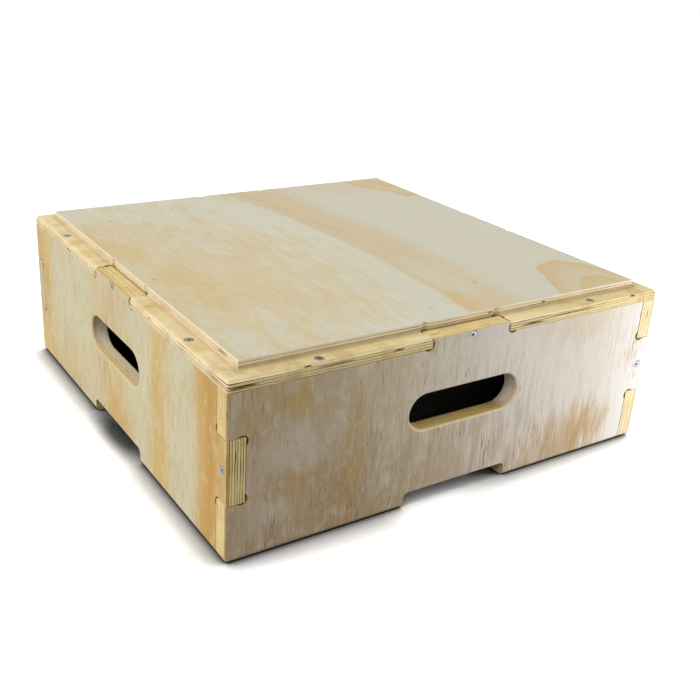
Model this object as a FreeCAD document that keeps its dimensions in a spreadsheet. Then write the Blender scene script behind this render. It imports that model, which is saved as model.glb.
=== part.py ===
import FreeCAD, Part
import os
import Sketcher
from FreeCAD import Placement, Rotation, Vector

# One section of a stacking plyo box, in millimetres.  Four equal walls interlock at the corners like
# a pinwheel, and each sends a tab up through a slot in the rebated deck.  The open underside drops
# over the raised deck of the section below.  +X is to the right along the front, +Y to the back and
# +Z up; the origin is on the floor at the middle of the box.

SIZES = [
    ("box_length", 500, "outside, along the front"),
    ("box_width", 500, "outside, front to back"),
    ("wall_height", 162, "floor to the underside of the deck"),
    ("ply_thickness", 18, "seven-ply sheet, walls and deck alike"),
    ("rebate_depth", 7.7, "three plies, the raised part of the deck"),
    ("stack_clearance", 0.5, "raised deck to the walls of the section above"),
    ("finger_clearance", 0.2, "each side of a finger or a tab"),
    ("finger_low", 57.5, "floor to the underside of the middle finger"),
    ("finger_high", 119.5, "floor to the top of the middle finger"),
    ("tab_width", 92, "tab at the top of each wall"),
    ("tab_set_down", 0.6, "top of the tab below the ledge"),
    ("cutter_radius", 6, "router cutter, also the radius of the corner reliefs"),
    ("relief_overcut", 0.4, "relief past the corner that it clears"),
    ("handle_width", 129, "hand slot, end to end"),
    ("handle_height", 37, "hand slot, low edge to high edge"),
    ("handle_level", 98.5, "floor to the middle of the hand slot"),
    ("handle_round", 2.5, "rounded rim of the hand slot"),
    ("foot_gap_width", 126, "gap under each wall"),
    ("foot_gap_height", 15.5, "floor to the top of that gap"),
    ("deck_edge_round", 4.5, "rounded upper edge of the ledge"),
    ("deck_corner_round", 3, "corners of the deck, seen from above"),
    ("lid_screw_pitch", 320, "between the two screws on each ledge"),
    ("screw_length", 40, "whole screw"),
    ("screw_shank", 4, "diameter"),
    ("screw_head", 8, "diameter"),
    ("screw_head_rim", 0.4, "straight part above the cone of the head"),
    ("screw_sink", 0.3, "head below the face of the panel"),
    ("screw_tip", 6, "length of the point"),
    ("screw_clearance", 0.1, "around the screw and past its point"),
    ("drive_span", 4.6, "cross recess, end to end"),
    ("drive_blade", 1.1, "cross recess, width of one arm"),
    ("drive_depth", 1.7, "cross recess, depth"),
]

LEDGE = "(Sizes.ply_thickness - Sizes.rebate_depth)"
LEDGE_WIDTH = "(Sizes.ply_thickness + Sizes.stack_clearance)"
SLOT_HALF = "(Sizes.tab_width / 2 + Sizes.finger_clearance)"
RELIEF_STEP = "((Sizes.cutter_radius - Sizes.relief_overcut) / sqrt(2))"
FINGER_LEVEL = "((Sizes.finger_low + Sizes.finger_high) / 2)"
TAB_SCREW_LIFT = f"({LEDGE} / 2)"
HEAD_CONE = "((Sizes.screw_head - Sizes.screw_shank) / 2)"
BORE = "(Sizes.screw_shank + 2 * Sizes.screw_clearance)"
SUNK_RIM = "(Sizes.screw_head_rim + Sizes.screw_sink + Sizes.screw_clearance)"
COUNTERSINK = f"(Sizes.screw_head + 2 * {SUNK_RIM})"
SCREW_REACH = "(Sizes.screw_length + Sizes.screw_sink + Sizes.screw_clearance)"

# Each side: name, turn about Z, its length, and the left end of its outer face seen from outside.
SIDES = [
    ("front", 0, "Sizes.box_length", "(-Sizes.box_length / 2)", "(-Sizes.box_width / 2)"),
    ("right", 90, "Sizes.box_width", "(Sizes.box_length / 2)", "(-Sizes.box_width / 2)"),
    ("back", 180, "Sizes.box_length", "(Sizes.box_length / 2)", "(Sizes.box_width / 2)"),
    ("left", 270, "Sizes.box_width", "(-Sizes.box_length / 2)", "(Sizes.box_width / 2)"),
]

UPRIGHT = Vector(0, 0, 1)
ORIGIN = (-1, 1)
ACROSS_AXIS = -1
UPWARD_AXIS = -2
START, END, CENTRE = 1, 2, 3
NEAR = 1e-4

doc = FreeCAD.newDocument("plyo_box")
sheet = doc.addObject("Spreadsheet::Sheet", "Sizes")
for row, (alias, number, note) in enumerate(SIZES, start=1):
    sheet.set(f"A{row}", alias)
    sheet.set(f"B{row}", str(number))
    sheet.set(f"C{row}", note)
    sheet.setAlias(f"B{row}", alias)
doc.recompute()


def value(expression):
    return float(sheet.evalExpression(expression))


# Sketches: every corner and centre is held by dimensions from the sketch's axes, bound to the sheet.


def new_sketch(body, name, role, lift=None):
    sketch = body.newObject("Sketcher::SketchObject", name)
    plane = [item for item in body.Origin.OriginFeatures if item.Role == role][0]
    sketch.AttachmentSupport = (plane, [""])
    sketch.MapMode = "FlatFace"
    if lift:
        sketch.setExpression("AttachmentOffset.Base.z", lift)
    return sketch


def bind(sketch, constraint, expression):
    index = sketch.addConstraint(constraint)
    sketch.setExpression(f"Constraints[{index}]", expression)


def hold(sketch, kind, geometry, point, expression):
    if expression == "0":
        axis = UPWARD_AXIS if kind == "DistanceX" else ACROSS_AXIS
        sketch.addConstraint(Sketcher.Constraint("PointOnObject", geometry, point, axis))
    else:
        constraint = Sketcher.Constraint(kind, *ORIGIN, geometry, point, value(expression))
        bind(sketch, constraint, expression)


def draw_outline(sketch, corners):
    points = [Vector(value(across), value(upward), 0) for across, upward in corners]
    edges = []
    for start, end in zip(points, points[1:] + points[:1]):
        edges.append(sketch.addGeometry(Part.LineSegment(start, end), False))
    for edge, following in zip(edges, edges[1:] + edges[:1]):
        sketch.addConstraint(Sketcher.Constraint("Coincident", edge, END, following, START))
    hold(sketch, "DistanceX", edges[0], START, corners[0][0])
    hold(sketch, "DistanceY", edges[0], START, corners[0][1])
    for edge, corner, following in zip(edges, corners, corners[1:]):
        if corner[0] == following[0]:
            sketch.addConstraint(Sketcher.Constraint("Vertical", edge))
        else:
            hold(sketch, "DistanceX", edge, END, following[0])
        if corner[1] == following[1]:
            sketch.addConstraint(Sketcher.Constraint("Horizontal", edge))
        else:
            hold(sketch, "DistanceY", edge, END, following[1])


def draw_rectangle(sketch, left, right, low, high):
    draw_outline(sketch, [(left, low), (right, low), (right, high), (left, high)])


def draw_circle(sketch, across, upward, radius):
    centre = Vector(value(across), value(upward), 0)
    circle = sketch.addGeometry(Part.Circle(centre, UPRIGHT, value(radius)), False)
    hold(sketch, "DistanceX", circle, CENTRE, across)
    hold(sketch, "DistanceY", circle, CENTRE, upward)
    bind(sketch, Sketcher.Constraint("Radius", circle, value(radius)), radius)


def draw_slot(sketch, left, right, upward, radius):
    size = value(radius)
    left_centre = Vector(value(left), value(upward), 0)
    right_centre = Vector(value(right), value(upward), 0)
    rise = Vector(0, size, 0)
    top = sketch.addGeometry(Part.LineSegment(left_centre + rise, right_centre + rise), False)
    low = sketch.addGeometry(Part.LineSegment(left_centre - rise, right_centre - rise), False)
    quarter = 1.5707963267948966
    left_circle = Part.Circle(left_centre, UPRIGHT, size)
    left_arc = sketch.addGeometry(Part.ArcOfCircle(left_circle, quarter, 3 * quarter), False)
    right_circle = Part.Circle(right_centre, UPRIGHT, size)
    right_arc = sketch.addGeometry(Part.ArcOfCircle(right_circle, -quarter, quarter), False)
    sketch.addConstraint(Sketcher.Constraint("Tangent", left_arc, START, top, START))
    sketch.addConstraint(Sketcher.Constraint("Tangent", left_arc, END, low, START))
    sketch.addConstraint(Sketcher.Constraint("Tangent", right_arc, START, low, END))
    sketch.addConstraint(Sketcher.Constraint("Tangent", right_arc, END, top, END))
    sketch.addConstraint(Sketcher.Constraint("Equal", left_arc, right_arc))
    sketch.addConstraint(Sketcher.Constraint("Horizontal", top))
    bind(sketch, Sketcher.Constraint("Radius", left_arc, size), radius)
    hold(sketch, "DistanceX", left_arc, CENTRE, left)
    hold(sketch, "DistanceY", left_arc, CENTRE, upward)
    hold(sketch, "DistanceX", right_arc, CENTRE, right)


# Features.


def pad(body, sketch, name, length, backward=False):
    feature = body.newObject("PartDesign::Pad", name)
    feature.Profile = sketch
    feature.Reversed = backward
    feature.setExpression("Length", length)
    doc.recompute()
    return feature


def pocket(body, sketch, name, length=None):
    before = body.Tip.Shape.Volume
    feature = body.newObject("PartDesign::Pocket", name)
    feature.Profile = sketch
    if length:
        feature.setExpression("Length", length)
    else:
        feature.Type = "ThroughAll"
    doc.recompute()
    if feature.Shape.Volume >= before:
        raise RuntimeError(f"{body.Label}: {name} removes nothing")
    return feature


def countersunk_holes(body, sketch, name):
    before = body.Tip.Shape.Volume
    feature = body.newObject("PartDesign::Hole", name)
    feature.Profile = sketch
    doc.recompute()
    feature.DepthType = "ThroughAll"
    feature.HoleCutType = "Countersink"
    feature.HoleCutCustomValues = True
    feature.HoleCutCountersinkAngle = 90
    feature.setExpression("Diameter", BORE)
    feature.setExpression("HoleCutDiameter", COUNTERSINK)
    doc.recompute()
    if feature.Shape.Volume >= before:
        raise RuntimeError(f"{body.Label}: {name} removes nothing")
    return feature


def mirror(body, feature, name, role):
    mirrored = body.newObject("PartDesign::Mirrored", name)
    plane = [item for item in body.Origin.OriginFeatures if item.Role == role][0]
    mirrored.Originals = [feature]
    mirrored.MirrorPlane = (plane, [""])
    body.Tip = mirrored
    doc.recompute()
    return mirrored


def round_edges(body, base, name, radius, wanted):
    edges = []
    for number, edge in enumerate(base.Shape.Edges, start=1):
        if wanted(edge.BoundBox):
            edges.append(f"Edge{number}")
    feature = body.newObject("PartDesign::Fillet", name)
    feature.Base = (base, edges)
    feature.setExpression("Radius", radius)
    doc.recompute()
    return feature


# The deck: one sheet, rebated all round, with a slot in each side for a wall's tab.


def make_deck():
    body = doc.addObject("PartDesign::Body", "top_deck")
    body.setExpression("Placement.Base.z", "Sizes.wall_height")
    half_length = "(Sizes.box_length / 2)"
    half_width = "(Sizes.box_width / 2)"
    raised_length = f"({half_length} - {LEDGE_WIDTH})"
    raised_width = f"({half_width} - {LEDGE_WIDTH})"
    past_length = f"({half_length} + {LEDGE_WIDTH})"
    past_width = f"({half_width} + {LEDGE_WIDTH})"
    top = "Sizes.ply_thickness"

    sketch = new_sketch(body, "deck_sheet_sketch", "XY_Plane")
    draw_rectangle(sketch, f"-{half_length}", half_length, f"-{half_width}", half_width)
    sheet_pad = pad(body, sketch, "deck_sheet", top)

    def is_plan_corner(box):
        return box.ZLength > NEAR and box.XLength < NEAR and box.YLength < NEAR

    round_edges(body, sheet_pad, "deck_corners", "Sizes.deck_corner_round", is_plan_corner)

    sketch = new_sketch(body, "deck_rebate_sketch", "XY_Plane", top)
    draw_rectangle(sketch, f"-{past_length}", past_length, f"-{past_width}", past_width)
    draw_rectangle(sketch, f"-{raised_length}", raised_length, f"-{raised_width}", raised_width)
    rebate = pocket(body, sketch, "deck_rebate", "Sizes.rebate_depth")

    ledge_level = value(LEDGE)
    raised_reach = max(value(raised_length), value(raised_width))

    def is_ledge_edge(box):
        on_ledge = abs(box.ZMin - ledge_level) < NEAR and abs(box.ZMax - ledge_level) < NEAR
        reach = max(abs(box.XMin), abs(box.XMax), abs(box.YMin), abs(box.YMax))
        return on_ledge and reach > raised_reach + NEAR

    round_edges(body, rebate, "deck_round_over", "Sizes.deck_edge_round", is_ledge_edge)

    sketch = new_sketch(body, "tab_slot_sketch", "XY_Plane", top)
    draw_rectangle(sketch, f"-{SLOT_HALF}", SLOT_HALF, f"-{past_width}", f"-{raised_width}")
    draw_rectangle(sketch, f"-{SLOT_HALF}", SLOT_HALF, raised_width, past_width)
    draw_rectangle(sketch, f"-{past_length}", f"-{raised_length}", f"-{SLOT_HALF}", SLOT_HALF)
    draw_rectangle(sketch, raised_length, past_length, f"-{SLOT_HALF}", SLOT_HALF)
    pocket(body, sketch, "tab_slots")

    sketch = new_sketch(body, "slot_relief_sketch", "XY_Plane", top)
    beside = f"({SLOT_HALF} - {RELIEF_STEP})"
    for sign in ("", "-"):
        for other in ("", "-"):
            across = f"{other}({raised_length} + {RELIEF_STEP})"
            upward = f"{other}({raised_width} + {RELIEF_STEP})"
            draw_circle(sketch, f"{sign}{beside}", upward, "Sizes.cutter_radius")
            draw_circle(sketch, across, f"{sign}{beside}", "Sizes.cutter_radius")
    pocket(body, sketch, "slot_reliefs")

    sketch = new_sketch(body, "lid_screw_sketch", "XY_Plane", LEDGE)
    along = "(Sizes.lid_screw_pitch / 2)"
    for sign in ("", "-"):
        for other in ("", "-"):
            across = f"{other}({half_length} - Sizes.ply_thickness / 2)"
            upward = f"{other}({half_width} - Sizes.ply_thickness / 2)"
            draw_circle(sketch, f"{sign}{along}", upward, f"({BORE} / 2)")
            draw_circle(sketch, across, f"{sign}{along}", f"({BORE} / 2)")
    countersunk_holes(body, sketch, "lid_screw_holes")

    depth = f"({SCREW_REACH} - {LEDGE_WIDTH})"
    sketch = new_sketch(body, "front_tab_pilot_sketch", "XZ_Plane", raised_width)
    draw_circle(sketch, "0", TAB_SCREW_LIFT, f"({BORE} / 2)")
    pilot = pocket(body, sketch, "front_tab_pilot", depth)
    mirror(body, pilot, "back_tab_pilot", "XZ_Plane")
    sketch = new_sketch(body, "right_tab_pilot_sketch", "YZ_Plane", raised_length)
    draw_circle(sketch, "0", TAB_SCREW_LIFT, f"({BORE} / 2)")
    pilot = pocket(body, sketch, "right_tab_pilot", depth)
    mirror(body, pilot, "left_tab_pilot", "YZ_Plane")
    return body


# A wall, seen from outside: its left end has an upper and a lower finger, its right end the middle
# one, so that four of them close round the box.  Local X runs along the wall, local Y goes inward.


def make_wall(side, turn, length, corner_x, corner_y):
    body = doc.addObject("PartDesign::Body", f"{side}_wall")
    body.Placement = Placement(Vector(), Rotation(UPRIGHT, turn))
    body.setExpression("Placement.Base.x", corner_x)
    body.setExpression("Placement.Base.y", corner_y)
    thick = "Sizes.ply_thickness"
    height = "Sizes.wall_height"
    middle = f"({length} / 2)"
    finger_root = f"({length} - {thick})"
    gap_low = "(Sizes.finger_low - Sizes.finger_clearance)"
    gap_high = "(Sizes.finger_high + Sizes.finger_clearance)"
    tab_left = f"({middle} - Sizes.tab_width / 2)"
    tab_right = f"({middle} + Sizes.tab_width / 2)"
    tab_top = f"({height} + {LEDGE} - Sizes.tab_set_down)"
    foot_left = f"({middle} - Sizes.foot_gap_width / 2)"
    foot_right = f"({middle} + Sizes.foot_gap_width / 2)"
    foot_top = "Sizes.foot_gap_height"

    sketch = new_sketch(body, f"{side}_outline", "XZ_Plane")
    draw_outline(sketch, [
        ("0", "0"),
        (foot_left, "0"),
        (foot_left, foot_top),
        (foot_right, foot_top),
        (foot_right, "0"),
        (finger_root, "0"),
        (finger_root, "Sizes.finger_low"),
        (length, "Sizes.finger_low"),
        (length, "Sizes.finger_high"),
        (finger_root, "Sizes.finger_high"),
        (finger_root, height),
        (tab_right, height),
        (tab_right, tab_top),
        (tab_left, tab_top),
        (tab_left, height),
        ("0", height),
        ("0", gap_high),
        (thick, gap_high),
        (thick, gap_low),
        ("0", gap_low),
    ])
    panel = pad(body, sketch, f"{side}_panel", thick, backward=True)

    foot_level = value(foot_top)
    foot_ends = (value(foot_left), value(foot_right))

    def is_foot_corner(box):
        through = box.YLength > NEAR and box.XLength < NEAR
        at_end = min(abs(box.XMin - end) for end in foot_ends) < NEAR
        return through and at_end and abs(box.ZMin - foot_level) < NEAR

    round_edges(body, panel, f"{side}_foot_corners", "Sizes.cutter_radius", is_foot_corner)

    sketch = new_sketch(body, f"{side}_handle_sketch", "XZ_Plane")
    half_run = "((Sizes.handle_width - Sizes.handle_height) / 2)"
    slot_left = f"({middle} - {half_run})"
    slot_right = f"({middle} + {half_run})"
    draw_slot(sketch, slot_left, slot_right, "Sizes.handle_level", "(Sizes.handle_height / 2)")
    handle = pocket(body, sketch, f"{side}_handle")

    handle_half = value("Sizes.handle_width / 2")
    handle_rise = value("Sizes.handle_height / 2")
    handle_level = value("Sizes.handle_level")
    centre = value(middle)

    def is_handle_rim(box):
        inside = abs(box.XMin - centre) < handle_half + NEAR
        inside = inside and abs(box.XMax - centre) < handle_half + NEAR
        inside = inside and abs(box.ZMin - handle_level) < handle_rise + NEAR
        inside = inside and abs(box.ZMax - handle_level) < handle_rise + NEAR
        return inside and box.YLength < NEAR

    round_edges(body, handle, f"{side}_handle_rim", "Sizes.handle_round", is_handle_rim)

    sketch = new_sketch(body, f"{side}_relief_sketch", "XZ_Plane")
    for across, upward in [
        (f"({thick} - {RELIEF_STEP})", f"({gap_high} - {RELIEF_STEP})"),
        (f"({thick} - {RELIEF_STEP})", f"({gap_low} + {RELIEF_STEP})"),
        (f"({finger_root} + {RELIEF_STEP})", f"(Sizes.finger_high + {RELIEF_STEP})"),
        (f"({finger_root} + {RELIEF_STEP})", f"(Sizes.finger_low - {RELIEF_STEP})"),
        (f"({tab_left} - {RELIEF_STEP})", f"({height} + {RELIEF_STEP})"),
        (f"({tab_right} + {RELIEF_STEP})", f"({height} + {RELIEF_STEP})"),
    ]:
        draw_circle(sketch, across, upward, "Sizes.cutter_radius")
    pocket(body, sketch, f"{side}_reliefs")

    sketch = new_sketch(body, f"{side}_screw_sketch", "XZ_Plane")
    draw_circle(sketch, f"({length} - {thick} / 2)", FINGER_LEVEL, f"({BORE} / 2)")
    draw_circle(sketch, middle, f"({height} + {TAB_SCREW_LIFT})", f"({BORE} / 2)")
    countersunk_holes(body, sketch, f"{side}_screw_holes")

    sketch = new_sketch(body, f"{side}_lid_pilot_sketch", "XY_Plane", height)
    for sign in ("-", "+"):
        across = f"({middle} {sign} Sizes.lid_screw_pitch / 2)"
        draw_circle(sketch, across, f"({thick} / 2)", f"({BORE} / 2)")
    pocket(body, sketch, f"{side}_lid_pilots", f"({SCREW_REACH} - {LEDGE})")

    sketch = new_sketch(body, f"{side}_end_pilot_sketch", "YZ_Plane", thick)
    draw_circle(sketch, f"({thick} / 2)", FINGER_LEVEL, f"({BORE} / 2)")
    end_pilot = body.newObject("PartDesign::Pocket", f"{side}_end_pilot")
    end_pilot.Profile = sketch
    end_pilot.Reversed = True
    end_pilot.setExpression("Length", f"({SCREW_REACH} - {thick})")
    doc.recompute()
    return body


# A countersunk wood screw, head up along its own Z, with a cross recess.


def make_screw(name, rotation, place):
    body = doc.addObject("PartDesign::Body", name)
    body.Placement = Placement(Vector(), rotation)
    for axis, expression in zip("xyz", place):
        body.setExpression(f"Placement.Base.{axis}", expression)
    head = "(Sizes.screw_head / 2)"
    shank = "(Sizes.screw_shank / 2)"

    sketch = new_sketch(body, f"{name}_profile", "XZ_Plane")
    draw_outline(sketch, [
        ("0", "0"),
        (head, "0"),
        (head, "(-Sizes.screw_head_rim)"),
        (shank, f"(-Sizes.screw_head_rim - {HEAD_CONE})"),
        (shank, "(Sizes.screw_tip - Sizes.screw_length)"),
        ("0", "(-Sizes.screw_length)"),
    ])
    turned = body.newObject("PartDesign::Revolution", f"{name}_turned")
    turned.Profile = sketch
    turned.ReferenceAxis = (sketch, ["V_Axis"])
    turned.Angle = 360
    doc.recompute()

    sketch = new_sketch(body, f"{name}_drive", "XY_Plane")
    span = "(Sizes.drive_span / 2)"
    blade = "(Sizes.drive_blade / 2)"
    draw_outline(sketch, [
        (f"-{blade}", f"-{span}"),
        (blade, f"-{span}"),
        (blade, f"-{blade}"),
        (span, f"-{blade}"),
        (span, blade),
        (blade, blade),
        (blade, span),
        (f"-{blade}", span),
        (f"-{blade}", blade),
        (f"-{span}", blade),
        (f"-{span}", f"-{blade}"),
        (f"-{blade}", f"-{blade}"),
    ])
    pocket(body, sketch, f"{name}_recess", "Sizes.drive_depth")
    return body


def on_side(turn, corner_x, corner_y, along, inward):
    """Place of a point of a wall, in the frame of the box."""
    if turn == 0:
        return f"{corner_x} + {along}", f"{corner_y} + {inward}"
    if turn == 90:
        return f"{corner_x} - {inward}", f"{corner_y} + {along}"
    if turn == 180:
        return f"{corner_x} - {along}", f"{corner_y} - {inward}"
    return f"{corner_x} + {inward}", f"{corner_y} - {along}"


def make_screws(side, turn, length, corner_x, corner_y):
    def spot(along, inward):
        return on_side(turn, corner_x, corner_y, along, inward)

    middle = f"({length} / 2)"
    half_thick = "(Sizes.ply_thickness / 2)"
    inward_screw = Rotation(UPRIGHT, turn) * Rotation(Vector(1, 0, 0), 90)
    driven = 20 + turn / 6

    lid_level = f"Sizes.wall_height + {LEDGE} - Sizes.screw_sink"
    lid_screws = []
    for end, sign in (("first", "-"), ("second", "+")):
        place = spot(f"({middle} {sign} Sizes.lid_screw_pitch / 2)", half_thick)
        spin = Rotation(UPRIGHT, driven if end == "first" else -driven)
        lid_screws.append(make_screw(f"{side}_{end}_lid_screw", spin, (*place, lid_level)))
    lid_group = doc.addObject("Part::Compound", f"{side}_lid_screws")
    lid_group.Links = lid_screws

    spin = inward_screw * Rotation(UPRIGHT, driven)
    place = spot(middle, "Sizes.screw_sink")
    level = f"Sizes.wall_height + {TAB_SCREW_LIFT}"
    tab_screw = make_screw(f"{side}_tab_screw", spin, (*place, level))

    spin = inward_screw * Rotation(UPRIGHT, -driven)
    place = spot(f"({length} - {half_thick})", "Sizes.screw_sink")
    corner_screw = make_screw(f"{side}_corner_screw", spin, (*place, FINGER_LEVEL))
    return [lid_group, tab_screw, corner_screw]


nodes = [make_deck()]
for side in SIDES:
    nodes.append(make_wall(*side))
for side in SIDES:
    nodes.extend(make_screws(*side))
doc.recompute()

for item in doc.Objects:
    if "Invalid" in item.State or "Error" in item.State:
        raise RuntimeError(f"{item.Label} did not compute: {item.State}")
for node in nodes:
    if node.Shape.isNull() or not node.Shape.isValid():
        raise RuntimeError(f"{node.Label} has no valid shape")

os.makedirs("parts", exist_ok=True)
for node in nodes:
    node.Shape.exportStep(os.path.join("parts", f"{node.Label}.step"))
    print(node.Label, len(node.Shape.Solids), round(node.Shape.Volume, 1))
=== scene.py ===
import math

import bpy
from mathutils import Euler, Matrix, Quaternion, Vector


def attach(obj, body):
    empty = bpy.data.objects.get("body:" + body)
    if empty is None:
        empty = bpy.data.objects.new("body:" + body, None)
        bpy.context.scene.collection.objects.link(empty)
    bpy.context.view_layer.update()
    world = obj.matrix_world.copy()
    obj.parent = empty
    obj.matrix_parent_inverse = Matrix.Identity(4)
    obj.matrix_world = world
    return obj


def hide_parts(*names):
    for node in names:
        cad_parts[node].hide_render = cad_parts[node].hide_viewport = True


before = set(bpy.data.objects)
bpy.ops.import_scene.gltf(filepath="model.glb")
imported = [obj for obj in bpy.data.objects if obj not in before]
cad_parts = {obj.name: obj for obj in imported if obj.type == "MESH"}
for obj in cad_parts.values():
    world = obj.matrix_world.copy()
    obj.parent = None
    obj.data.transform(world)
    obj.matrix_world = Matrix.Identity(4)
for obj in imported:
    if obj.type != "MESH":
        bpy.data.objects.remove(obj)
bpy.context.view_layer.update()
bpy.ops.object.select_all(action="DESELECT")

# Walls: four equal panels of seven-ply sheet, cut on a router with fingers at both ends, a tab on top,
# a hand slot and a gap to the floor.  They interlock at the corners and are screwed there.  The arrises
# are sanded off, the feet are rounded over, and the core has a few open gaps.

MM = 0.001
HALF_SIDE = 250
SHEET = 18
PLY = 2.565
LAST_PLY = 6.0
PLY_WANDER = 0.9
GRAIN_RELIEF = 0.3
FOOT_ROUND = 5.5
FOOT_GAP_HALF = 63
ARRIS = 0.8
SAME_POINT = 0.00001
SAME_PLANE = 0.0003
MIX_FACTOR, MIX_FIRST, MIX_SECOND, MIX_RESULT = 0, 6, 7, 2


def srgb(red, green, blue):
    """A colour written as it looks on screen, 0 to 255."""
    linear = []
    for level in (red, green, blue):
        part = level / 255
        linear.append(part / 12.92 if part <= 0.04045 else ((part + 0.055) / 1.055) ** 2.4)
    return (*linear, 1.0)


def new_node(tree, kind, inputs=None, **settings):
    """A node whose inputs are linked to sockets or set to constants."""
    node = tree.nodes.new(kind)
    for name, setting in settings.items():
        setattr(node, name, setting)
    for socket, source in (inputs or {}).items():
        if isinstance(source, bpy.types.NodeSocket):
            tree.links.new(source, node.inputs[socket])
        else:
            node.inputs[socket].default_value = source
    return node


def math_of(tree, operation, *values):
    inputs = dict(enumerate(values))
    return new_node(tree, "ShaderNodeMath", inputs, operation=operation).outputs[0]


def hypot_of(tree, first, second):
    squares = [math_of(tree, "POWER", side, 2.0) for side in (first, second)]
    return math_of(tree, "SQRT", math_of(tree, "ADD", *squares))


def step_of(tree, source, low, high, start=0.0, end=1.0):
    """Goes smoothly from start to end while the source goes from low to high."""
    inputs = {"Value": source, "From Min": low, "From Max": high, "To Min": start, "To Max": end}
    return new_node(tree, "ShaderNodeMapRange", inputs, interpolation_type="SMOOTHSTEP").outputs[0]


def blend_of(tree, factor, first, second, kind="MIX"):
    inputs = {MIX_FACTOR: factor, MIX_FIRST: first, MIX_SECOND: second}
    node = new_node(tree, "ShaderNodeMix", inputs, data_type="RGBA", blend_type=kind)
    return node.outputs[MIX_RESULT]


def grain_noise(tree, lengths, coordinates, seed, detail=2.0, rough=0.5):
    """Noise drawn out along the grain: lengths are its size in mm along, across and through."""
    scaled = [math_of(tree, "DIVIDE", c, size) for c, size in zip(coordinates, lengths)]
    point = new_node(tree, "ShaderNodeCombineXYZ", dict(enumerate(scaled)))
    inputs = {"Vector": point.outputs[0], "W": seed, "Scale": 1.0, "Detail": detail, "Roughness": rough}
    return new_node(tree, "ShaderNodeTexNoise", inputs, noise_dimensions="4D").outputs[0]


def shift_by(tree, base, noise, amount):
    """Moves a value to either side by noise, whose middle is a half."""
    return math_of(tree, "MULTIPLY_ADD", math_of(tree, "SUBTRACT", noise, 0.5), amount, base)


CORE_DARK = srgb(216, 194, 140)
CORE_PALE = srgb(228, 212, 166)
CORE_EDGE = srgb(241, 231, 203)
INSIDE_DARK = srgb(106, 80, 50)
INSIDE_PALE = srgb(140, 110, 72)
END_DARK = srgb(206, 179, 126)
END_PALE = srgb(231, 213, 170)
# Glue colours painted for the light: dark brown for edges in shade, tan for lamplit ones, gold for lit
# ones.
GLUE_PAINTED_SHADE = srgb(88, 58, 32)
GLUE_PAINTED_LIT_TAN = srgb(184, 146, 92)
GLUE_PAINTED_LIT_GOLD = srgb(150, 104, 52)


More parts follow.
